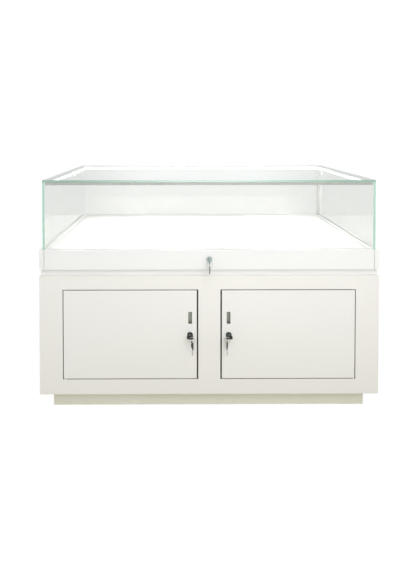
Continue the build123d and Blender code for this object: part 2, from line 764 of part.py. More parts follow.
with BuildPart() as deck_tray_boards:
    # Side boards, cut back at the top where they run under the ledge
    for side in (-1, 1):
        with BuildSketch(facing(FRAME_BACK)):
            with BuildLine():
                Polyline(
                    (side * tray_inner, TRAY_BOTTOM),
                    (side * TRAY_SIDE, TRAY_BOTTOM),
                    (side * TRAY_SIDE, LEDGE_BOTTOM - TRAY_ROOM),
                    (side * DECK_SIDE, LEDGE_BOTTOM - TRAY_ROOM),
                    (side * DECK_SIDE, DECK_BOTTOM),
                    (side * tray_inner, DECK_BOTTOM),
                    close=True,
                )
            make_face()
        extrude(amount=-(tray_rear - FRAME_BACK))
    # Two ribs and the rear board
    for x in (-TRAY_RIB_X, TRAY_RIB_X):
        add_board(
            (x - TRAY_BOARD / 2, x + TRAY_BOARD / 2),
            (FRAME_BACK, tray_rear - TRAY_BOARD),
            (TRAY_BOTTOM, DECK_BOTTOM),
        )
    add_board(
        (-tray_inner, tray_inner),
        (tray_rear - TRAY_BOARD, tray_rear),
        (TRAY_BOTTOM, DECK_BOTTOM),
    )
save(deck_tray_boards, "deck_tray_boards")

# ---------------------------------------------------------------- doors

door_width = DOOR_OUTER - DOOR_INNER
door_height = DOOR_TOP - DOOR_BOTTOM
door_x = (DOOR_OUTER + DOOR_INNER) / 2
door_z = (DOOR_TOP + DOOR_BOTTOM) / 2

for side, name in SIDES:
    with BuildPart() as door_panel:
        with BuildSketch(facing(FRAME_BACK)):
            with Locations((side * door_x, door_z)):
                Rectangle(door_width, door_height)
        extrude(amount=BOARD)
        fillet(door_panel.faces().sort_by(Axis.Y)[0].edges(), EDGE_ROUND)
        for level, way in ((DOOR_TOP, -1), (DOOR_BOTTOM, 1)):
            with BuildSketch(Plane.XY.offset(level)):
                with Locations((side * PIVOT_X, PIVOT_Y)):
                    Circle(PIVOT_RADIUS)
            extrude(amount=way * PIVOT_DEPTH, mode=Mode.SUBTRACT)
        with BuildSketch(facing(FRONT)):
            with Locations((side * PULL_X, PULL_Z)):
                Rectangle(PULL_WIDTH + 2 * PULL_FIT, PULL_HEIGHT + 2 * PULL_FIT)
        extrude(amount=-PULL_DEPTH, mode=Mode.SUBTRACT)
        cut_barrel_hole(side * LOCK_X, DOOR_LOCK_Z)
    save(door_panel, f"{name}_door_panel")

    with BuildPart() as door_pull:
        with BuildSketch(facing(FRONT - PULL_RIM)):
            with Locations((side * PULL_X, PULL_Z)):
                RectangleRounded(PULL_WIDTH, PULL_HEIGHT, PULL_CORNER)
        extrude(amount=-(PULL_DEPTH + PULL_RIM))
        with BuildSketch(facing(FRONT - PULL_RIM)):
            with Locations((side * PULL_X, PULL_Z)):
                Rectangle(PULL_WIDTH - 2 * PULL_WALL, PULL_HEIGHT - 2 * PULL_WALL)
        extrude(amount=-(PULL_DEPTH + PULL_RIM - PULL_WALL), mode=Mode.SUBTRACT)
    save(door_pull, f"{name}_door_pull")

    with BuildPart() as door_pivot_pins:
        for level, way in ((DOOR_TOP, 1), (DOOR_BOTTOM, -1)):
            with BuildSketch(Plane.XY.offset(level - way * PIVOT_DEPTH)):
                with Locations((side * PIVOT_X, PIVOT_Y)):
                    Circle(PIVOT_RADIUS)
            extrude(amount=way * (PIVOT_DEPTH + END_GAP + BUSH_DEPTH - BUSH_FLOOR))
    save(door_pivot_pins, f"{name}_door_pivot_pins")

with BuildPart() as pivot_bushes:
    for side in (-1, 1):
        for level, way in ((OPENING_TOP, 1), (OPENING_BOTTOM, -1)):
            with BuildSketch(Plane.XY.offset(level)):
                with Locations((side * PIVOT_X, PIVOT_Y)):
                    Circle(BUSH_RADIUS)
            extrude(amount=way * BUSH_DEPTH)
            with BuildSketch(Plane.XY.offset(level)):
                with Locations((side * PIVOT_X, PIVOT_Y)):
                    Circle(BUSH_FLANGE_RADIUS)
            extrude(amount=-way * BUSH_FLANGE)
            with BuildSketch(Plane.XY.offset(level - way * BUSH_FLANGE)):
                with Locations((side * PIVOT_X, PIVOT_Y)):
                    Circle(PIVOT_RADIUS + PIVOT_CLEARANCE)
            extrude(amount=way * (BUSH_FLANGE + BUSH_DEPTH), mode=Mode.SUBTRACT)
save(pivot_bushes, "pivot_bushes")

# An angle on each jamb of the centre stile, which the door cams turn behind
with BuildPart() as door_strikes:
    for side in (-1, 1):
        jamb = side * OPENING_INNER
        with BuildSketch(Plane.XY.offset(DOOR_LOCK_Z - STRIKE_HEIGHT / 2)):
            with BuildLine():
                Polyline(
                    (jamb, FRAME_BACK),
                    (jamb, FRAME_BACK - STRIKE_JAMB),
                    (jamb + side * STRIKE, FRAME_BACK - STRIKE_JAMB),
                    (jamb + side * STRIKE, FRAME_BACK + STRIKE),
                    (jamb - side * STRIKE_REACH, FRAME_BACK + STRIKE),
                    (jamb - side * STRIKE_REACH, FRAME_BACK),
                    close=True,
                )
            make_face()
        extrude(amount=STRIKE_HEIGHT)
save(door_strikes, "door_strikes")
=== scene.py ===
"""The looks of a glass display showcase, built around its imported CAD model.

Metres, +Z up, front towards -Y. Left and right are as seen from the front.
"""

import math

import bmesh
import bpy
from mathutils import Euler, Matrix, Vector


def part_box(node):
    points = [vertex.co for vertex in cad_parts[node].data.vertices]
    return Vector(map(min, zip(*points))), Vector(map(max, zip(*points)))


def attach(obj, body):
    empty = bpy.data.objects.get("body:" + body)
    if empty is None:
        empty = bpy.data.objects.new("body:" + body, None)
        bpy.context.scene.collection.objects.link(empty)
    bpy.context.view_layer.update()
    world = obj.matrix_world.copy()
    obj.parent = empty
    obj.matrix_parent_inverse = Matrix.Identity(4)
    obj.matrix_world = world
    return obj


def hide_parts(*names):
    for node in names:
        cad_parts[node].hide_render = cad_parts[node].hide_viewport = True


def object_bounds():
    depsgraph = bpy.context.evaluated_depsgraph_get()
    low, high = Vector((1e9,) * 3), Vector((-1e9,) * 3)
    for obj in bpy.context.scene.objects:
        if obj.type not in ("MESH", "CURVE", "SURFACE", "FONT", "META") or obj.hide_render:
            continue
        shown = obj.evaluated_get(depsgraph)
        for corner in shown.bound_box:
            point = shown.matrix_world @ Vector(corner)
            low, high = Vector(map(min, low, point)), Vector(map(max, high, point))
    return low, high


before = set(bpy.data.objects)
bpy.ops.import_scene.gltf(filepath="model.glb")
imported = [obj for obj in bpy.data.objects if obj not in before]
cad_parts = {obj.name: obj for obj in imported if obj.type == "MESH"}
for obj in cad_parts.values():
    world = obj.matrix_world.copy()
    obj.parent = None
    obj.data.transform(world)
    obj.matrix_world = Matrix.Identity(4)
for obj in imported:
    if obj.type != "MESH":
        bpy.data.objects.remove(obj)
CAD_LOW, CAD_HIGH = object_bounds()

AXES = "XYZ"
MM = 0.001
UP = Vector((0, 0, 1))
FRONTWARD = Vector((0, -1, 0))
BACKWARD = Vector((0, 1, 0))

# The camera of the photograph: where it stands, how it is turned, and how the picture is framed
CAMERA_PLACE = (-0.0988, -1.7049, 1.0895)
CAMERA_DOWN = 0.0157
CAMERA_RIGHT = 0.0034
CAMERA_ROLL = 0.0004
CAMERA_LENS = 23.37
CAMERA_SHIFT = (0.0426, -0.2643)

# Colours, linear
WHITE = (0.873, 0.860, 0.825, 1)
DOOR_WHITE = (0.875, 0.866, 0.84, 1)
# Painted light: the plinth's white is tinted yellow for warm light bounced from the floor
PLINTH_WITH_PAINTED_BOUNCE = (0.85, 0.84, 0.75, 1)
COOL_WHITE = (0.885, 0.884, 0.878, 1)
# Partly painted light: the deck's own white, made a little brighter for the light of the LED bars
DECK_WHITE_PAINTED_LIT = (0.91, 0.91, 0.905, 1)
RUBBED = (0.80, 0.79, 0.755, 1)
LOW_DARK_TONE = (0.56, 0.53, 0.46, 1)
# Painted shade: a dark raw-board tone for the board edges in the door gaps
GAP_SHADE_TONE = (0.30, 0.275, 0.225, 1)
TINT = (0.962, 0.965, 0.957, 1)
CLEAR = (1, 1, 1, 1)
TOP_HIDDEN_EDGE = (0.60, 0.64, 0.60, 1)
TOP_EDGE_MID = (0.60, 0.77, 0.70, 1)
TOP_EDGE_END = (0.29, 0.45, 0.37, 1)
TOP_EDGE_FADE = (0.2, 0.8)
SIDE_EDGE = (0.41, 0.65, 0.53, 1)
SEALANT = (0.88, 0.89, 0.88, 1)
MIRROR_TONE = (0.97, 1, 0.98, 1)
EDGE_SHEEN = (0.81, 0.9, 0.855, 1)
KEY_BLACK = (0.006, 0.008, 0.006, 1)
# Painted highlight and sheen: lighter copies of the black key plastic, for the deck keys' heads
KEY_HEAD_HIGHLIGHT = (0.25, 0.31, 0.30, 1)
KEY_HEAD_SHEEN = (0.055, 0.065, 0.05, 1)
PULL_FLOOR = (0.44, 0.46, 0.39, 1)
# Painted shade for the pulls' rims and pocket walls
PULL_RIM_SHADE = (0.16, 0.17, 0.12, 1)
KEY_NICKEL = (0.62, 0.60, 0.53, 1)
# Painted highlight: a brighter copy of the key nickel, for the deck keys' blades
KEY_NICKEL_HIGHLIGHT = (0.92, 0.91, 0.88, 1)

# Scales of the patterns in the materials, in cells per metre
LACQUER = {
    "cloud": 2.2,
    "speck": 1400,
    "wear": 14,
    "low_mark": 30,
    "grain": 500,
    "gloss": 9,
    "peel": 520,
    "wave": 60,
}
METAL_CLOUD = 55
PULL_LINES = 900
PLASTIC_CLOUD = 40
GLASS = {"smear": 7, "dust": 900, "edge_cloud": 120, "ground": 300, "edge_lines": 700, "seal": 90}
GLOW_GRAIN = 1500
FLOOR_CLOUD = 1.5
NOISE_BODY = (0.3, 0.7)  # where most of the noise lies

# Light: what the camera sees straight on, what lights the object, and what shows in mirrors
WORLD_TO_CAMERA = 1.05
WORLD_AS_LIGHT = 0.65
STUDIO_BEHIND_CAMERA = (0.03, 0.34, 1.5, 0.45)
STUDIO_BEYOND = (0.15, 0.32, 0.975, 0.79)
STUDIO_MIDDLE = 0.055
THROUGH_GLASS = (0.17, 0.27, 1.07, 0.95)
THROUGH_GLASS_MIDDLE = 0.49
FLOOR_TO_CAMERA = 1.12
FLOOR_IN_MIRRORS = 0.80
FLOOR_PLAIN_SHARE = 0.8
FLOOR_NEAR = (0.30, 0.28, 0.15, 1)
FLOOR_FAR = (0.60, 0.60, 0.56, 1)
FLOOR_NEAR_TO_FAR = (0.7, 1.6)
DIFFUSER_GLOW = 58.0
DIFFUSER_TO_CAMERA = 3.0
DIFFUSER_TONE = (1, 1, 0.97, 1)
STRIP_GLOW = 3.0
STRIP_TONE = (1, 0.98, 0.94, 1)
# Painted light: a glow on the sealant in the glass grooves, lightening the shade there
SEALANT_PAINTED_GLOW = 0.92
FRONT_SEALANT_PAINTED_GLOW = 0.2
INDIRECT_CLAMP = 50.0  # the factory value of 10 darkens the lit deck's mirror image in the glass
SEE_THROUGH_BOUNCES = 32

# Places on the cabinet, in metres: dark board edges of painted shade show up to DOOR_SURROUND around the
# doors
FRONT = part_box("front_frame")[0].y
ARRIS = 1.1 * MM
BOARD = 18 * MM
DOOR_SURROUND = 6 * MM
PULL_FLOOR_BEYOND = 5 * MM
BAND_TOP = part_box("left_deck_rail")[1].z
GROOVE_MOUTH = 0.3 * MM
# Below this height the lacquer may darken towards the bottom
DARKENED_BELOW = 0.055

# How much glass reflects head-on
HEAD_ON_SHARE = 0.04

# The locks, each with the turn of its spare key from edge-on, in degrees
LOCKS = {"left": 15.0, "right": -15.0, "deck": -6.0}

# Keys, split rings and screws, in millimetres
HEAD_WIDTH = 25.0
HEAD_LENGTH = 25.0
HEAD_CORNER = 7.0
HEAD_HALF = 1.5
HEAD_ROUND = 0.8
HOLE_RADIUS = 3.75
HOLE_INSET = 6.5
HOLE_ROUND = 0.4
PANEL_CENTRE = 6.8
PANEL_HALF = (9.2, 3.9)
PANEL_CORNER = 2.6
PANEL_DEPTH = 0.45
PANEL_SLOPE = 0.5
BLADE_HALF_WIDTH = 4.0
BLADE_HALF = 1.0
BLADE_LENGTH = 25.0
BLADE_ROOT = 1.0
NOTCH = 1.6
NOTCHES = (8.0, 12.0, 16.0, 20.0)
TIP = 2.5
GROOVE = (1.25, 0.95)
GROOVE_DEPTH = 0.35
HEAD_RINGS = 20
HEAD_SPOKES = 96
RING_STRAND = (0.72, 0.42)
RING_TURNS = 1.94
RING_STEPS = 150
RING_SIDES = 10
SCREW_SLOT_HALF = 0.42
SCREW_SLOT_REACH = 0.62
SCREW_SLOT_DEPTH = 0.8
SCREW_SLOT_SHARE = 0.8
SCREW_SLOT_EDGE = 0.5
SCREW_SLOT_SLOPE = 0.25
SCREW_DOME = 0.45
SCREW_RINGS = 16
SCREW_SPOKES = 48
DRIVER_EAR = 6.0
DRIVER_EAR_THICK = 2.0
DRIVER_SCREW = (3.8, 1.9)
STRIKE_SCREW = (2.8, 1.0)
STRIKE_SCREW_ASIDE = 32.5
STRIKE_SCREW_RISE = 5.0

# Balls and cages of the slides, in millimetres. Each cage has its name, its body, how far it stands
# inwards from the slide's outer face, and how far above and below the slide's middle
BALL_RADIUS = 1.85
BALL_COUNT = 14
BALL_PITCH = 18.0
BALL_RINGS = 8
BALL_SIDES = 14
CAGE_HALF_WIDTH = 2.4
CAGE_HALF_THICK = 0.3
CAGE_INSET = 1.0
CAGES = (("outer_ball_cages", "cabinet", 6.4, 19.4), ("inner_ball_cages", "slide_middle", 7.6, 14.4))

# The floor, and the soft lights: name, place, aim, size, power, and whether mirrors show them
FLOOR_HALF = 30.0
SOFTBOXES = (
    ("key_light", (0.3, -1.6, 1.7), (0.08, -0.3, 0.45), (1.6, 0.8), 14.3, True),
    ("fill_light", (0.1, -3.2, 0.6), (0.0, -0.3, 0.3), (2.0, 1.0), 10.5, False),
    ("low_light", (0.25, -1.25, 0.15), (0.15, -0.3, 0.18), (0.5, 0.3), 0.55, False),
)


# ---------------------------------------------------------------- node helpers


def new_material(name):
    """A material with an empty principled shader: returns the material, its tree and the shader."""
    material = bpy.data.materials.new(name)
    material.use_nodes = True
    return material, material.node_tree, material.node_tree.nodes["Principled BSDF"]


def add(tree, kind, inputs=None, **settings):
    """Adds a node. An input is a plain value, or the output socket that feeds it."""
    node = tree.nodes.new(kind)
    for key, value in settings.items():
        setattr(node, key, value)
    for socket, value in (inputs or {}).items():
        if isinstance(value, bpy.types.NodeSocket):
            tree.links.new(value, node.inputs[socket])
        else:
            node.inputs[socket].default_value = value
    return node


def feed(tree, shader, **sockets):
    """Feeds inputs of a shader node, with _ in a name standing for a space."""
    for name, value in sockets.items():
        socket = shader.inputs[name.replace("_", " ")]
        if isinstance(value, bpy.types.NodeSocket):
            tree.links.new(value, socket)
        else:
            socket.default_value = value


def finish_with(tree, shader):
    """Makes a shader node the surface of the material or the world."""
    kinds = ("OUTPUT_MATERIAL", "OUTPUT_WORLD")
    end = next(node for node in tree.nodes if node.type in kinds)
    tree.links.new(shader.outputs[0], end.inputs["Surface"])


def maths(tree, operation, first, second=0.0, clamp=False):
    """The result of one sum on two values or sockets."""
    node = add(tree, "ShaderNodeMath", {0: first, 1: second}, operation=operation, use_clamp=clamp)
    return node.outputs[0]


def product(tree, *factors):
    """The product of several values or sockets."""
    result = factors[0]
    for factor in factors[1:]:
        result = maths(tree, "MULTIPLY", result, factor)
    return result


def ramp(tree, factor, start, end, low=0.0, high=1.0):
    """Maps factor from start..end to low..high, and holds it at the ends."""
    inputs = {"Value": factor, "From Min": start, "From Max": end, "To Min": low, "To Max": high}
    return add(tree, "ShaderNodeMapRange", inputs, clamp=True).outputs["Result"]


def mix(tree, factor, first, second):
    """Mixes two colours."""
    node = add(tree, "ShaderNodeMix", data_type="RGBA")
    for socket, value in ((node.inputs[0], factor), (node.inputs[6], first), (node.inputs[7], second)):
        if isinstance(value, bpy.types.NodeSocket):
            tree.links.new(value, socket)
        else:
            socket.default_value = value
    return node.outputs[2]


def blend_shaders(tree, share, first, second):
    """Mixes two shader nodes."""
    return add(tree, "ShaderNodeMixShader", {0: share, 1: first.outputs[0], 2: second.outputs[0]})


def place(tree):
    """The point on the object at rest, in metres, in the frame of the CAD model."""
    return add(tree, "ShaderNodeTexCoord").outputs["Object"]


def along(tree, axis, vector=None):
    """One component of a vector, or of the place on the object."""
    return add(tree, "ShaderNodeSeparateXYZ", {0: vector or place(tree)}).outputs[AXES.index(axis)]


def size_of(tree, value):
    """A value without its sign."""
    return maths(tree, "ABSOLUTE", value)


def true_normal(tree):
    """The direction a flat face looks in on the object at rest, however the piece has moved since."""
    facing = add(tree, "ShaderNodeNewGeometry").outputs["True Normal"]
    settings = {"vector_type": "NORMAL", "convert_from": "WORLD", "convert_to": "OBJECT"}
    return add(tree, "ShaderNodeVectorTransform", {"Vector": facing}, **settings).outputs[0]


def noise(tree, scale, detail=2.0, stretch=(1, 1, 1), roughness=0.5):
    """Noise over the object, 0 to 1, with cells of about 1 / scale metres."""
    spread = add(tree, "ShaderNodeMapping", {"Vector": place(tree), "Scale": stretch})
    inputs = {"Vector": spread.outputs[0], "Scale": scale, "Detail": detail, "Roughness": roughness}
    return add(tree, "ShaderNodeTexNoise", inputs).outputs["Fac"]


def bumped(tree, height, strength, depth):
    """A normal roughened by a height from 0 to 1 that stands for depth metres."""
    node = add(tree, "ShaderNodeBump", {"Height": height, "Strength": strength, "Distance": depth})
    return node.outputs["Normal"]


def edge_mask(tree, radius):
    """1 along edges and 0 on flat faces, over a band of about radius metres."""
    soft = add(tree, "ShaderNodeBevel", {"Radius": radius}, samples=4).outputs[0]
    hard = add(tree, "ShaderNodeNewGeometry").outputs["Normal"]
    same = add(tree, "ShaderNodeVectorMath", {0: soft, 1: hard}, operation="DOT_PRODUCT").outputs["Value"]
    return ramp(tree, same, 0.98, 0.75)


def grey(value, warmth=0.0):
    """A neutral colour; warmth takes blue away."""
    return (value, value * (1 - 0.3 * warmth), value * (1 - warmth), 1)


def scaled(colour, factor, lift=0.0):
    """A colour made darker or lighter, and never above 1."""
    return [min(1.0, part * factor + lift) for part in colour[:3]] + [1]


# ---------------------------------------------------------------- materials


def on_shaded_gap_edges(tree):
    """1 on the edges of boards inside the door openings, behind the rounded arris of the front, where the
    gaps get painted shade.
    """
    depth = along(tree, "Y")
    behind = maths(tree, "GREATER_THAN", depth, FRONT + ARRIS)
    before = maths(tree, "LESS_THAN", depth, FRONT + BOARD + ARRIS)
    sideways = maths(tree, "LESS_THAN", size_of(tree, along(tree, "Y", true_normal(tree))), 0.5)
    low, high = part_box("left_door_panel")
    inside_x = maths(tree, "LESS_THAN", size_of(tree, along(tree, "X")), -low.x + DOOR_SURROUND)
    above = maths(tree, "GREATER_THAN", along(tree, "Z"), low.z - DOOR_SURROUND)
    below = maths(tree, "LESS_THAN", along(tree, "Z"), high.z + DOOR_SURROUND)
    return product(tree, behind, before, sideways, inside_x, above, below)


def lacquer(name, colour, low_darkening=0.0, gap_shade_edges=False):
    """Sprayed satin lacquer: orange peel, a little dust and handling, and edges rubbed thin. It can
    darken towards the bottom, and paint shade on the board edges in the door gaps.
    """
    material, tree, shader = new_material(name)
    cloud = ramp(tree, noise(tree, LACQUER["cloud"], 3), *NOISE_BODY, 0, 0.35)
    base = mix(tree, cloud, colour, scaled(colour, 0.965))
    speck = ramp(tree, noise(tree, LACQUER["speck"], 1), 0.66, 0.72, 0, 0.25)
    base = mix(tree, speck, base, scaled(colour, 0.93))
    patches = ramp(tree, noise(tree, LACQUER["wear"], 3), 0.40, 0.65, 0.25, 0.5)
    worn = product(tree, edge_mask(tree, 0.8 * MM), patches)
    base = mix(tree, worn, base, RUBBED)
    if low_darkening:
        # Dark marks that fade in towards the bottom
        low = ramp(tree, along(tree, "Z"), DARKENED_BELOW, 0.0)
        marks = ramp(tree, noise(tree, LACQUER["low_mark"], 5, (1, 1, 4)), 0.5, 0.75)
        base = mix(tree, product(tree, low, marks, low_darkening), base, LOW_DARK_TONE)
    if gap_shade_edges:
        # Painted shade: the board edges in the door gaps take a dark raw-board tone, so the gaps read
        # dark
        grain = ramp(tree, noise(tree, LACQUER["grain"], 3, (1, 3, 1)), *NOISE_BODY)
        shaded_edge = mix(tree, grain, GAP_SHADE_TONE, scaled(GAP_SHADE_TONE, 1.2))
        base = mix(tree, on_shaded_gap_edges(tree), base, shaded_edge)
    rough = ramp(tree, noise(tree, LACQUER["gloss"], 4), 0.25, 0.75, 0.30, 0.42)
    rough = maths(tree, "ADD", rough, product(tree, worn, 0.2))
    waves = product(tree, noise(tree, LACQUER["wave"], 1), 2.0)
    peel = maths(tree, "ADD", noise(tree, LACQUER["peel"], 2), waves)
    normal = bumped(tree, peel, 0.12, 0.4 * MM)
    feed(tree, shader, Base_Color=base, Roughness=rough, Normal=normal)
    feed(tree, shader, Coat_Weight=0.15, Coat_Roughness=0.25)
    return material


def metal(name, colour, roughness, brush=(1, 1, 1), scale=900, contrast=0.1, depth=0.08 * MM):
    """Metal with brush lines or a fine grain, a slight tarnish and brighter worn edges."""
    material, tree, shader = new_material(name)
    lines = noise(tree, scale, 3, brush)
    cloud = noise(tree, METAL_CLOUD, 3)
    base = mix(tree, ramp(tree, cloud, 0.35, 0.7, 0, 0.7), colour, scaled(colour, 1 - 2.2 * contrast))
    worn = product(tree, edge_mask(tree, 0.5 * MM), ramp(tree, cloud, 0.3, 0.6, 0.3, 0.8))
    base = mix(tree, worn, base, scaled(colour, 1.35, 0.05))
    both = maths(tree, "ADD", lines, product(tree, cloud, 0.6))
    rough = ramp(tree, both, 0.4, 1.2, roughness * 0.75, roughness * 1.3)
    normal = bumped(tree, lines, 0.25, depth)
    feed(tree, shader, Base_Color=base, Metallic=1.0, Roughness=rough, Normal=normal)
    return material


def pull_metal():
    """Olive bronze for the flush pulls, with painted shade that makes the rim and walls darker than the
    pocket's floor.
    """
    material, tree, shader = new_material("pull_metal")
    faces_out = maths(tree, "GREATER_THAN", size_of(tree, along(tree, "Y", true_normal(tree))), 0.9)
    inside = maths(tree, "GREATER_THAN", along(tree, "Y"), FRONT + PULL_FLOOR_BEYOND)
    lines = noise(tree, PULL_LINES, 3, (1, 1, 0.05))
    # Painted shade: the rim and walls are darker than the pocket's floor
    base = mix(tree, product(tree, faces_out, inside), PULL_RIM_SHADE, PULL_FLOOR)
    base = mix(tree, ramp(tree, lines, *NOISE_BODY, 0, 0.5), base, scaled(PULL_FLOOR, 0.8))
    worn = product(tree, edge_mask(tree, 0.4 * MM), 0.5)
    base = mix(tree, worn, base, scaled(PULL_FLOOR, 1.3))
    rough = ramp(tree, lines, *NOISE_BODY, 0.34, 0.5)
    normal = bumped(tree, lines, 0.25, 0.06 * MM)
    feed(tree, shader, Base_Color=base, Metallic=0.8, Roughness=rough, Normal=normal)
    return material


def plastic(name, colour, roughness, scale=1200, depth=0.06 * MM, sheen=0.5):
    """Moulded plastic: a fine spark-eroded grain, slightly polished on its edges."""
    material, tree, shader = new_material(name)
    cloud = noise(tree, PLASTIC_CLOUD, 3)
    base = mix(tree, ramp(tree, cloud, *NOISE_BODY, 0, 0.6), colour, scaled(colour, 1.25, 0.01))
    worn = product(tree, edge_mask(tree, 0.6 * MM), 0.5)
    base = mix(tree, worn, base, scaled(colour, 1.6, 0.03))
    rough = ramp(tree, cloud, *NOISE_BODY, roughness * 0.85, roughness * 1.2)
    normal = bumped(tree, noise(tree, scale, 2), 0.3, depth)
    feed(tree, shader, Base_Color=base, Roughness=rough, Normal=normal, Specular_IOR_Level=sheen)
    return material


def reflected_share(tree, geometry):
    """How much light a sheet of glass reflects.

    Both faces are counted together where a ray comes in, and nothing where it leaves.
    """
    inputs = {0: geometry.outputs["Normal"], 1: geometry.outputs["Incoming"]}
    slope = add(tree, "ShaderNodeVectorMath", inputs, operation="DOT_PRODUCT").outputs["Value"]
    grazing = maths(tree, "SUBTRACT", 1.0, size_of(tree, slope), clamp=True)
    rise = product(tree, maths(tree, "POWER", grazing, 5.0), 1 - HEAD_ON_SHARE)
    one_face = maths(tree, "ADD", rise, HEAD_ON_SHARE)
    both_faces = maths(tree, "DIVIDE", product(tree, 2.0, one_face), maths(tree, "ADD", one_face, 1.0))
    comes_in = maths(tree, "SUBTRACT", 1.0, geometry.outputs["Backfacing"])
    return product(tree, both_faces, comes_in)


def clear_face(tree, geometry, tint):
    """The face of a clear sheet: see-through, mirroring, with faint wiping marks and dust."""
    smear = ramp(tree, noise(tree, GLASS["smear"], 5, (1, 1, 2.2)), 0.52, 0.75)
    dust = ramp(tree, noise(tree, GLASS["dust"], 1), 0.7, 0.78)
    see = add(tree, "ShaderNodeBsdfTransparent", {"Color": tint})
    rough = product(tree, smear, 0.05)
    mirror = add(tree, "ShaderNodeBsdfGlossy", {"Color": MIRROR_TONE, "Roughness": rough})
    clear = blend_shaders(tree, reflected_share(tree, geometry), see, mirror)
    film = add(tree, "ShaderNodeBsdfDiffuse", {"Color": grey(0.9)})
    haze = maths(tree, "ADD", product(tree, smear, 0.012), product(tree, dust, 0.02))
    return blend_shaders(tree, haze, clear, film)


def glass(name, thin_axis, mid_edge, end_edge, half_length, hidden_edge=CLEAR, seal_painted_glow=SEALANT_PAINTED_GLOW):
    """Clear float glass seen through its faces, with green polished edges that deepen towards both ends.

    thin_axis is across the sheet. hidden_edge tints an edge across X when it is seen through the sheet.
    In its groove the sheet meets sealant which, seen through the sheet, has a painted glow set by the
    last argument, lightening the shade in the groove.
    """
    material, tree, shader = new_material(name)
    geometry = add(tree, "ShaderNodeNewGeometry")
    facing = true_normal(tree)
    on_face = maths(tree, "GREATER_THAN", size_of(tree, along(tree, thin_axis, facing)), 0.9)
    from_within = geometry.outputs["Backfacing"]
    across_x = maths(tree, "GREATER_THAN", size_of(tree, along(tree, "X", facing)), 0.6)
    hidden = product(tree, maths(tree, "SUBTRACT", 1.0, on_face), across_x)
    face = clear_face(tree, geometry, mix(tree, hidden, TINT, hidden_edge))
    to_end = maths(tree, "DIVIDE", size_of(tree, along(tree, "X")), half_length)
    colour = mix(tree, ramp(tree, to_end, *TOP_EDGE_FADE), mid_edge, end_edge)
    sheen = ramp(tree, noise(tree, GLASS["edge_cloud"], 3), 0.3, 0.8, 0, 0.12)
    colour = mix(tree, sheen, colour, EDGE_SHEEN)
    ground = ramp(tree, noise(tree, GLASS["ground"], 2), *NOISE_BODY, 0.10, 0.22)
    lines = bumped(tree, noise(tree, GLASS["edge_lines"], 2, (1, 1, 0.2)), 0.1, 0.05 * MM)
    feed(tree, shader, Base_Color=colour, Roughness=ground, Normal=lines)
    see_in = maths(tree, "MAXIMUM", on_face, from_within)
    sheet = blend_shaders(tree, see_in, shader, face)
    # Painted light: the sealant seen through the sheet glows, lightening the shade in the groove
    seal_tone = mix(tree, noise(tree, GLASS["seal"], 2), SEALANT, scaled(SEALANT, 0.94))
    glow = product(tree, from_within, seal_painted_glow)
    lit = add(tree, "ShaderNodeEmission", {"Color": seal_tone, "Strength": glow})
    seal = add(tree, "ShaderNodeBsdfDiffuse", {"Color": seal_tone})
    seal = add(tree, "ShaderNodeAddShader", {0: seal.outputs[0], 1: lit.outputs[0]})
    in_groove = maths(tree, "LESS_THAN", along(tree, "Z"), BAND_TOP + GROOVE_MOUTH)
    finish_with(tree, blend_shaders(tree, in_groove, sheet, seal))
    return material


def glowing(name, colour, strength, to_camera, grain):
    """A lit surface with a faint pattern of the emitters behind it.

    The camera sees it at the strength to_camera, as a dazzled camera does.
    """
    material, tree, shader = new_material(name)
    pattern = ramp(tree, noise(tree, grain, 1), *NOISE_BODY, 0.9, 1.0)
    seen = add(tree, "ShaderNodeLightPath").outputs["Is Camera Ray"]
    power = ramp(tree, seen, 0, 1, strength, to_camera)
    feed(
        tree,
        shader,
        Base_Color=mix(tree, pattern, scaled(colour, 0.9), colour),
        Roughness=0.5,
        Emission_Color=colour,
        Emission_Strength=product(tree, pattern, power),
        Normal=bumped(tree, noise(tree, GLOW_GRAIN, 1), 0.2, 0.05 * MM),
    )
    return material


def paint(material, *nodes):
    """Gives CAD nodes a material."""
    for name in nodes:
        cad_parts[name].data.materials.clear()
        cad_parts[name].data.materials.append(material)


def paint_boards():
    """Lacquer for the boards of the plinth, the cabinet and the deck."""
    paint(
        lacquer("white_lacquer", WHITE, gap_shade_edges=True),
        "bottom_panel", "left_side_panel", "right_side_panel", "rear_panel", "front_frame",
        "centre_partition", "deck_tray_boards",
    )
    doors = lacquer("door_lacquer", DOOR_WHITE, gap_shade_edges=True)
    paint(doors, "left_door_panel", "right_door_panel")
    paint(
        lacquer("cool_lacquer", COOL_WHITE),
        "top_board", "left_deck_rail", "right_deck_rail", "rear_deck_rail", "deck_front_panel",
    )
    plinth = lacquer("plinth_lacquer", PLINTH_WITH_PAINTED_BOUNCE, low_darkening=0.3)
    paint(plinth, "plinth_long_boards", "plinth_cross_boards")
    paint(lacquer("deck_lacquer", DECK_WHITE_PAINTED_LIT), "deck_panel")


def paint_glass():
    """The five sheets of the hood."""
    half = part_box("glass_top")[1].x
    edges = (SIDE_EDGE, SIDE_EDGE, half)
    top = glass("glass_top_sheet", "Z", TOP_EDGE_MID, TOP_EDGE_END, half, TOP_HIDDEN_EDGE)
    paint(top, "glass_top")
    paint(glass("glass_front_sheet", "Y", *edges, seal_painted_glow=FRONT_SEALANT_PAINTED_GLOW), "glass_front")
    paint(glass("glass_rear_sheet", "Y", *edges), "glass_rear")
    paint(glass("glass_side_sheet", "X", *edges), "glass_left", "glass_right")


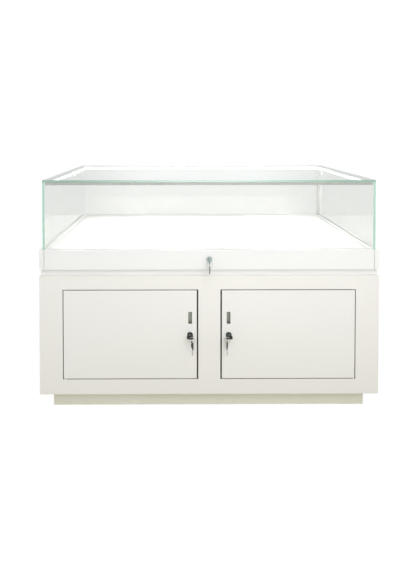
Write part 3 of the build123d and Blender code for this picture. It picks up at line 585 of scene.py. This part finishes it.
def paint_light_bars():
    """The light bars, their cable duct and their driver."""
    bar = metal("bar_metal", grey(0.72, 0.04), 0.38, (0.02, 1, 1))
    paint(bar, "led_channel_front", "led_channel_rear")
    paint(metal("bar_metal_side", grey(0.72, 0.04), 0.38, (1, 0.02, 1)), "led_channels_side")
    paint(metal("duct_metal", grey(0.80, 0.02), 0.5, (1, 1, 0.02), contrast=0.03), "cable_duct")
    diffuser = glowing("diffuser_glow", DIFFUSER_TONE, DIFFUSER_GLOW, DIFFUSER_TO_CAMERA, 120)
    paint(diffuser, "led_diffusers")
    paint(glowing("strip_glow", STRIP_TONE, STRIP_GLOW, STRIP_GLOW, 60), "led_strips")
    paint(plastic("cable_sheath", grey(0.7, 0.05), 0.45), "led_cable")
    paint(plastic("driver_case", grey(0.72, 0.06), 0.5), "led_driver")


def paint_hardware():
    """The slides, pulls, pivots, strike plates and locks."""
    steel = metal("slide_steel", grey(0.55, -0.02), 0.32, (1, 0.03, 1))
    paint(steel, "slide_outer_members", "slide_middle_members", "slide_inner_members")
    paint(pull_metal(), "left_door_pull", "right_door_pull")
    paint(metal("pivot_steel", grey(0.5), 0.3), "left_door_pivot_pins", "right_door_pivot_pins")
    paint(plastic("bush_nylon", grey(0.75, 0.08), 0.4), "pivot_bushes")
    paint(metal("strike_steel", grey(0.62, 0.06), 0.35, (1, 1, 0.05)), "door_strikes")
    fine = {"scale": 400, "depth": 0.03 * MM}
    # Painted reflections: the same chrome is painted pale teal on the deck lock and dark on the door
    # locks
    deck_chrome_look = metal("deck_chrome_painted_pale_reflection", (0.60, 0.68, 0.67, 1), 0.30, contrast=0.06, **fine)
    door_chrome_look = metal("door_chrome_painted_dark_reflection", (0.36, 0.39, 0.38, 1), 0.14, contrast=0.12, **fine)
    for lock in LOCKS:
        chrome = deck_chrome_look if lock == "deck" else door_chrome_look
        paint(chrome, *[f"{lock}_lock_{part}" for part in ("body", "nut", "plug", "cam")])


# ---------------------------------------------------------------- small parts


def add_piece(name, points, faces, body, materials, second_from=None, smooth_to=None):
    """Makes a mesh that rides on a body. Faces from second_from on take the second material."""
    mesh = bpy.data.meshes.new(name)
    mesh.from_pydata(points, [], faces)
    tool = bmesh.new()
    tool.from_mesh(mesh)
    bmesh.ops.recalc_face_normals(tool, faces=tool.faces)
    tool.to_mesh(mesh)
    tool.free()
    for material in materials:
        mesh.materials.append(material)
    for face in mesh.polygons:
        face.use_smooth = smooth_to is None or face.index < smooth_to
        if second_from is not None and face.index >= second_from:
            face.material_index = 1
    piece = bpy.data.objects.new(name, mesh)
    bpy.context.scene.collection.objects.link(piece)
    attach(piece, body)
    return piece


def box_distance(u, v, half_u, half_v, corner):
    """How far a point is outside a rectangle with round corners, and negative inside it."""
    over_u = abs(u) - half_u + corner
    over_v = abs(v) - half_v + corner
    outside = math.hypot(max(over_u, 0.0), max(over_v, 0.0))
    return outside + min(max(over_u, over_v), 0.0) - corner


def eased(value):
    """A smooth step from 0 to 1 as value goes from 0 to 1."""
    value = min(1.0, max(0.0, value))
    return value * value * (3 - 2 * value)


def round_over(distance, radius):
    """How far a face falls at a distance from its rounded edge."""
    if distance >= radius:
        return 0.0
    return radius - math.sqrt(max(0.0, radius * radius - (radius - distance) ** 2))


def polar_plate(reach, inner, top, bottom, rings, spokes):
    """A plate around a middle point: reach(angle) is its outline, top and bottom its faces' heights."""
    points, faces = [], []
    for surface in (top, bottom):
        for spoke in range(spokes):
            angle = 2 * math.pi * spoke / spokes
            outer = reach(angle)
            for ring in range(rings + 1):
                share = (1 - math.cos(math.pi * ring / rings)) / 2
                radius = inner + share * (outer - inner)
                u, v = radius * math.cos(angle), radius * math.sin(angle)
                points.append((u, v, surface(u, v, outer - radius)))
    row = rings + 1
    under = row * spokes
    for spoke in range(spokes):
        here, there = spoke * row, (spoke + 1) % spokes * row
        for ring in range(rings):
            a, b, c, d = here + ring, here + ring + 1, there + ring + 1, there + ring
            faces.append((a, b, c, d))
            faces.append((under + d, under + c, under + b, under + a))
        faces.append((here + rings, there + rings, under + there + rings, under + here + rings))
        faces.append((here, there, under + there, under + here))
    return points, faces


def key_head():
    """The moulded head of a key, with a recessed panel. Zero is where the blade starts."""
    to_hole = HEAD_LENGTH - HOLE_INSET
    half_width, half_length = HEAD_WIDTH / 2, HEAD_LENGTH / 2

    def outline(u, v):
        return box_distance(u, v + to_hole - half_length, half_width, half_length, HEAD_CORNER)

    def reach(angle):
        near, far = 0.0, HEAD_LENGTH
        for _ in range(40):
            middle = (near + far) / 2
            if outline(middle * math.cos(angle), middle * math.sin(angle)) < 0:
                near = middle
            else:
                far = middle
        return near

    def half_thickness(u, v, _):
        fall = round_over(-outline(u, v), HEAD_ROUND)
        fall = max(fall, round_over(math.hypot(u, v) - HOLE_RADIUS, HOLE_ROUND))
        panel = box_distance(u, v + to_hole - PANEL_CENTRE, *PANEL_HALF, PANEL_CORNER)
        return HEAD_HALF - fall - PANEL_DEPTH * eased(-panel / PANEL_SLOPE)

    def under(u, v, inset):
        return -half_thickness(u, v, inset)

    points, faces = polar_plate(reach, HOLE_RADIUS, half_thickness, under, HEAD_RINGS, HEAD_SPOKES)
    return [(u, v + to_hole, w) for u, v, w in points], faces


def key_blade():
    """The blade of a key, with a milled groove on both sides and notches along one edge."""
    stations = {-BLADE_ROOT, 0.0, BLADE_LENGTH, BLADE_LENGTH - TIP}
    for notch in NOTCHES:
        stations |= {notch - NOTCH, notch, notch + NOTCH}
    points, faces = [], []
    wide, narrow = GROOVE
    for station in sorted(stations):
        tip = max(0.0, TIP - (BLADE_LENGTH - station))
        cut = max(max(0.0, NOTCH - abs(station - notch)) for notch in NOTCHES)
        left, right = -BLADE_HALF_WIDTH + tip, BLADE_HALF_WIDTH - max(tip, cut)
        low, high = BLADE_HALF, BLADE_HALF - GROOVE_DEPTH
        upper = [(left, low), (-wide, low), (-narrow, high), (narrow, high), (wide, low), (right, low)]
        section = upper + [(u, -w) for u, w in reversed(upper)]
        points += [(u, -station, w) for u, w in section]
    count = len(section)
    for start in range(0, len(points) - count, count):
        for side in range(count):
            after = (side + 1) % count
            faces.append((start + side, start + after, start + count + after, start + count + side))
    faces.append(tuple(range(count)))
    faces.append(tuple(range(len(points) - count, len(points))))
    return points, faces


def placed(points, origin, across, up):
    """Points in millimetres, moved into the frame of the object."""
    normal = across.cross(up)
    return [origin + (u * across + v * up + w * normal) * MM for u, v, w in points]


def make_key(name, node, body, origin, across, up, materials):
    """Puts a finished key in place of a CAD one."""
    points, faces = key_head()
    blade_points, blade_faces = key_blade()
    head_faces = len(faces)
    faces = faces + [tuple(len(points) + corner for corner in face) for face in blade_faces]
    points = placed(points + blade_points, origin, across, up)
    piece = add_piece(name, points, faces, body, materials, head_faces, head_faces)
    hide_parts(node)


def make_split_ring(name, node, body, material):
    """Puts a ring wound from flat wire in place of a CAD one."""
    low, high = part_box(node)
    middle = (low + high) / 2
    radius = (high.x - low.x) / 2 - RING_STRAND[0] * MM
    points, faces = [], []
    for step in range(RING_STEPS + 1):
        turn = 2 * math.pi * RING_TURNS * step / RING_STEPS
        shift = RING_STRAND[1] * (2 * step / RING_STEPS - 1)
        for side in range(RING_SIDES):
            angle = 2 * math.pi * side / RING_SIDES
            reach = radius + RING_STRAND[0] * MM * math.cos(angle)
            depth = (shift + RING_STRAND[1] * math.sin(angle)) * MM
            points.append(middle + Vector((reach * math.cos(turn), depth, reach * math.sin(turn))))
    for start in range(0, RING_STEPS * RING_SIDES, RING_SIDES):
        for side in range(RING_SIDES):
            after = (side + 1) % RING_SIDES
            corners = (side, after, RING_SIDES + after, RING_SIDES + side)
            faces.append(tuple(start + corner for corner in corners))
    faces.append(tuple(range(RING_SIDES)))
    faces.append(tuple(range(len(points) - RING_SIDES, len(points))))
    piece = add_piece(name, points, faces, body, [material])
    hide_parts(node)


def make_keys():
    """The keys and split rings of the three locks."""
    black = plastic("key_head_black", KEY_BLACK, 0.4, 900, sheen=0.25)
    # Painted highlight and sheen: the deck keys' heads and blades are lighter copies of the same plastic
    # and nickel
    in_lock = plastic("key_head_painted_highlight", KEY_HEAD_HIGHLIGHT, 0.35, 900)
    hanging = plastic("key_head_painted_sheen", KEY_HEAD_SHEEN, 0.35, 900)
    nickel = metal("key_nickel", KEY_NICKEL, 0.25, scale=500)
    lit_nickel = metal("key_nickel_painted_highlight", KEY_NICKEL_HIGHLIGHT, 0.4, scale=500)
    ring_look = metal("ring_nickel", grey(0.85, 0.03), 0.25, scale=600, contrast=0.05)
    for lock, spare_turn in LOCKS.items():
        low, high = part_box(f"{lock}_key")
        middle = (low + high) / 2
        shoulder = Vector((middle.x, low.y + HEAD_LENGTH * MM, middle.z))
        across = UP if lock == "deck" else Vector((1, 0, 0))
        looks = [in_lock, lit_nickel] if lock == "deck" else [black, nickel]
        body = f"{lock}_key_in_lock"
        make_key(f"{lock}_moulded_key", f"{lock}_key", body, shoulder, across, FRONTWARD, looks)
        low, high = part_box(f"{lock}_spare_key")
        middle = (low + high) / 2
        shoulder = Vector((middle.x, middle.y, high.z - HEAD_LENGTH * MM))
        turn = math.radians(spare_turn)
        across = Vector((-math.sin(turn), math.cos(turn), 0))
        looks = [hanging, lit_nickel] if lock == "deck" else [black, nickel]
        body = f"{lock}_hanging_keys"
        make_key(f"{lock}_moulded_spare_key", f"{lock}_spare_key", body, shoulder, across, UP, looks)
        make_split_ring(f"{lock}_split_ring", f"{lock}_key_ring", body, ring_look)


def make_screw(name, body, origin, facing, radius, height, material):
    """A domed screw head with a cross recess. The sizes are in millimetres."""
    reach = SCREW_SLOT_REACH * radius
    depth = min(SCREW_SLOT_DEPTH, SCREW_SLOT_SHARE * height)

    def top(u, v, _):
        dome = height * (1 - SCREW_DOME * (math.hypot(u, v) / radius) ** 2)
        upright = max(abs(u) - SCREW_SLOT_HALF, abs(v) - reach)
        level = max(abs(v) - SCREW_SLOT_HALF, abs(u) - reach)
        return dome - depth * eased(SCREW_SLOT_EDGE - min(upright, level) / SCREW_SLOT_SLOPE)

    points, faces = polar_plate(
        lambda angle: radius, 0.01, top, lambda *place: 0.0, SCREW_RINGS, SCREW_SPOKES
    )
    points = placed(points, origin, UP.cross(facing), UP)
    add_piece(name, points, faces, body, [material])


def make_screws():
    """The screws that hold the light driver and the strike plates."""
    zinc = metal("screw_zinc", grey(0.66, 0.04), 0.3, scale=700)
    low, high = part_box("led_driver")
    ear, ear_face, level = DRIVER_EAR * MM, high.y - DRIVER_EAR_THICK * MM, (low.z + high.z) / 2
    for name, x in (("left", low.x + ear), ("right", high.x - ear)):
        origin = Vector((x, ear_face, level))
        make_screw(f"driver_screw_{name}", "cabinet", origin, FRONTWARD, *DRIVER_SCREW, zinc)
    low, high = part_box("door_strikes")
    for name, side in (("left", -1), ("right", 1)):
        for row, rise in (("lower", -STRIKE_SCREW_RISE * MM), ("upper", STRIKE_SCREW_RISE * MM)):
            level = (low.z + high.z) / 2 + rise
            origin = Vector((side * STRIKE_SCREW_ASIDE * MM, high.y, level))
            screw = f"strike_screw_{name}_{row}"
            make_screw(screw, "cabinet", origin, BACKWARD, *STRIKE_SCREW, zinc)


def ball(centre, radius):
    """The points and faces of a ball."""
    points = [centre + Vector((0, 0, radius)), centre - Vector((0, 0, radius))]
    faces = []
    for ring in range(1, BALL_RINGS):
        tilt = math.pi * ring / BALL_RINGS
        flat, height = radius * math.sin(tilt), radius * math.cos(tilt)
        for side in range(BALL_SIDES):
            turn = 2 * math.pi * side / BALL_SIDES
            points.append(centre + Vector((flat * math.cos(turn), flat * math.sin(turn), height)))
    last = 2 + (BALL_RINGS - 2) * BALL_SIDES
    for side in range(BALL_SIDES):
        after = (side + 1) % BALL_SIDES
        faces.append((0, 2 + side, 2 + after))
        faces.append((1, last + after, last + side))
        for ring in range(BALL_RINGS - 2):
            start = 2 + ring * BALL_SIDES
            under = start + BALL_SIDES
            faces.append((start + side, start + after, under + after, under + side))
    return points, faces


def cage_strip(low, high):
    """The points and faces of one thin strip between two corners."""
    across, along_slide, upwards = zip(low, high)
    points = [Vector((x, y, z)) for x in across for y in along_slide for z in upwards]
    faces = [(0, 1, 3, 2), (4, 6, 7, 5), (0, 4, 5, 1), (2, 3, 7, 6), (0, 2, 6, 4), (1, 5, 7, 3)]
    return points, faces


def ball_row(x, first_y, z):
    """One row of balls in its cage, running backwards from first_y: a list of points and faces."""
    pitch = BALL_PITCH * MM
    places = [Vector((x, first_y + pitch / 2 + step * pitch, z)) for step in range(BALL_COUNT)]
    half = Vector((CAGE_HALF_WIDTH, 0, CAGE_HALF_THICK)) * MM
    start = Vector((x, first_y + CAGE_INSET * MM, z))
    end = Vector((x, first_y + BALL_COUNT * pitch, z))
    balls = [ball(place, BALL_RADIUS * MM) for place in places]
    return balls + [cage_strip(start - half, end + half)]


def make_ball_cages():
    """Rows of balls in their cages, between the members of both slides."""
    steel = metal("ball_steel", grey(0.7, -0.01), 0.16, scale=800)
    low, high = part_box("slide_outer_members")
    level = (low.z + high.z) / 2
    for name, body, across, up in CAGES:
        points, faces = [], []
        for side in (-1, 1):
            for way in (-1, 1):
                row = ball_row(side * (high.x - across * MM), low.y, level + way * up * MM)
                for new_points, new_faces in row:
                    faces += [tuple(len(points) + corner for corner in face) for face in new_faces]
                    points += new_points
        piece = add_piece(name, points, faces, body, [steel])


paint_boards()
paint_glass()
paint_light_bars()
paint_hardware()
make_keys()
make_screws()
make_ball_cages()


# ---------------------------------------------------------------- stage, light and camera


def by_ray(tree, kinds, otherwise):
    """Picks a shader by the kind of ray: kinds pairs a light path output with a shader node."""
    path = add(tree, "ShaderNodeLightPath")
    result = otherwise
    for kind, shader in kinds:
        result = blend_shaders(tree, path.outputs[kind], result, shader)
    return result


def make_floor():
    """A pale floor: near white to the eye, and darker and warmer as a source of soft light."""
    mesh = bpy.data.meshes.new("studio_floor")
    turns = ((-1, -1), (1, -1), (1, 1), (-1, 1))
    corners = [(x * FLOOR_HALF, y * FLOOR_HALF, CAD_LOW.z) for x, y in turns]
    mesh.from_pydata(corners, [], [(0, 1, 2, 3)])
    floor = bpy.data.objects.new("studio_floor", mesh)
    bpy.context.scene.collection.objects.link(floor)
    material, tree, shader = new_material("floor_paper")
    paper = mix(tree, noise(tree, FLOOR_CLOUD, 3), grey(0.86), grey(0.9))
    feed(tree, shader, Base_Color=paper, Roughness=0.8)
    plain = add(tree, "ShaderNodeEmission", {"Color": grey(1.0), "Strength": FLOOR_TO_CAMERA})
    across = along(tree, "X", add(tree, "ShaderNodeTexCoord").outputs["Window"])
    off_middle = size_of(tree, maths(tree, "SUBTRACT", across, THROUGH_GLASS_MIDDLE))
    dimmed = ramp(tree, off_middle, *THROUGH_GLASS)
    through = add(tree, "ShaderNodeEmission", {"Color": grey(1.0), "Strength": dimmed})
    depth = add(tree, "ShaderNodeLightPath").outputs["Transparent Depth"]
    seen = blend_shaders(tree, FLOOR_PLAIN_SHARE, shader, plain)
    seen = blend_shaders(tree, maths(tree, "MINIMUM", depth, 1.0), seen, through)
    mirrored = add(tree, "ShaderNodeEmission", {"Color": grey(1.0), "Strength": FLOOR_IN_MIRRORS})
    away = add(tree, "ShaderNodeVectorMath", {0: place(tree)}, operation="LENGTH").outputs["Value"]
    glow = mix(tree, ramp(tree, away, *FLOOR_NEAR_TO_FAR), FLOOR_NEAR, FLOOR_FAR)
    felt = add(tree, "ShaderNodeEmission", {"Color": glow, "Strength": 1.0})
    finish_with(tree, by_ray(tree, (("Is Glossy Ray", mirrored), ("Is Diffuse Ray", felt)), seen))
    mesh.materials.append(material)


def make_world():
    """A white studio that lights the object softly. Mirrors see it change towards its sides."""
    world = bpy.data.worlds.new("studio")
    bpy.context.scene.world = world
    world.use_nodes = True
    tree = world.node_tree
    seen = add(tree, "ShaderNodeBackground", {"Color": grey(1.0), "Strength": WORLD_TO_CAMERA})
    felt = add(tree, "ShaderNodeBackground", {"Color": grey(1.0), "Strength": WORLD_AS_LIGHT})
    way = add(tree, "ShaderNodeTexCoord").outputs["Generated"]
    off_middle = size_of(tree, maths(tree, "SUBTRACT", along(tree, "X", way), STUDIO_MIDDLE))
    ahead = ramp(tree, along(tree, "Y", way), -0.1, 0.1)
    beyond = product(tree, ahead, ramp(tree, off_middle, *STUDIO_BEYOND))
    backward = maths(tree, "SUBTRACT", 1.0, ahead)
    behind = product(tree, backward, ramp(tree, off_middle, *STUDIO_BEHIND_CAMERA))
    strength = maths(tree, "ADD", beyond, behind)
    mirrored = add(tree, "ShaderNodeBackground", {"Color": grey(1.0), "Strength": strength})
    finish_with(tree, by_ray(tree, (("Is Glossy Ray", mirrored), ("Is Diffuse Ray", felt)), seen))


def add_softbox(name, where, aim, size, power, mirrored):
    """A soft rectangular lamp at a place, turned to a point, and seen in mirrors or not."""
    lamp = bpy.data.lights.new(name, "AREA")
    lamp.shape = "RECTANGLE"
    lamp.size, lamp.size_y = size
    lamp.energy = power
    holder = bpy.data.objects.new(name, lamp)
    bpy.context.scene.collection.objects.link(holder)
    holder.location = where
    holder.visible_camera = False
    holder.visible_glossy = mirrored
    holder.rotation_euler = (Vector(aim) - Vector(where)).to_track_quat("-Z", "Y").to_euler()


def make_camera():
    """The camera of the photograph. The shift that frames it is dropped when it is moved elsewhere."""
    camera = bpy.data.cameras.new("camera")
    holder = bpy.data.objects.new("camera", camera)
    bpy.context.scene.collection.objects.link(holder)
    holder.location = CAMERA_PLACE
    holder.rotation_euler = Euler((math.pi / 2 - CAMERA_DOWN, CAMERA_ROLL, -CAMERA_RIGHT), "XYZ")
    camera.lens = CAMERA_LENS
    camera.sensor_width = 36.0
    camera.sensor_fit = "AUTO"
    camera.clip_start = 0.05
    for path, shift in zip(("shift_x", "shift_y"), CAMERA_SHIFT):
        driver = camera.driver_add(path).driver
        variable = driver.variables.new()
        variable.name = "y"
        variable.type = "TRANSFORMS"
        variable.targets[0].id = holder
        variable.targets[0].transform_type = "LOC_Y"
        driver.expression = f"{shift} if abs(y - {CAMERA_PLACE[1]}) < 0.0001 else 0.0"
    bpy.context.scene.camera = holder


make_floor()
make_world()
for softbox in SOFTBOXES:
    add_softbox(*softbox)
make_camera()

scene = bpy.context.scene
scene.view_settings.view_transform = "Standard"
scene.cycles.transparent_max_bounces = SEE_THROUGH_BOUNCES
scene.cycles.sample_clamp_indirect = INDIRECT_CLAMP
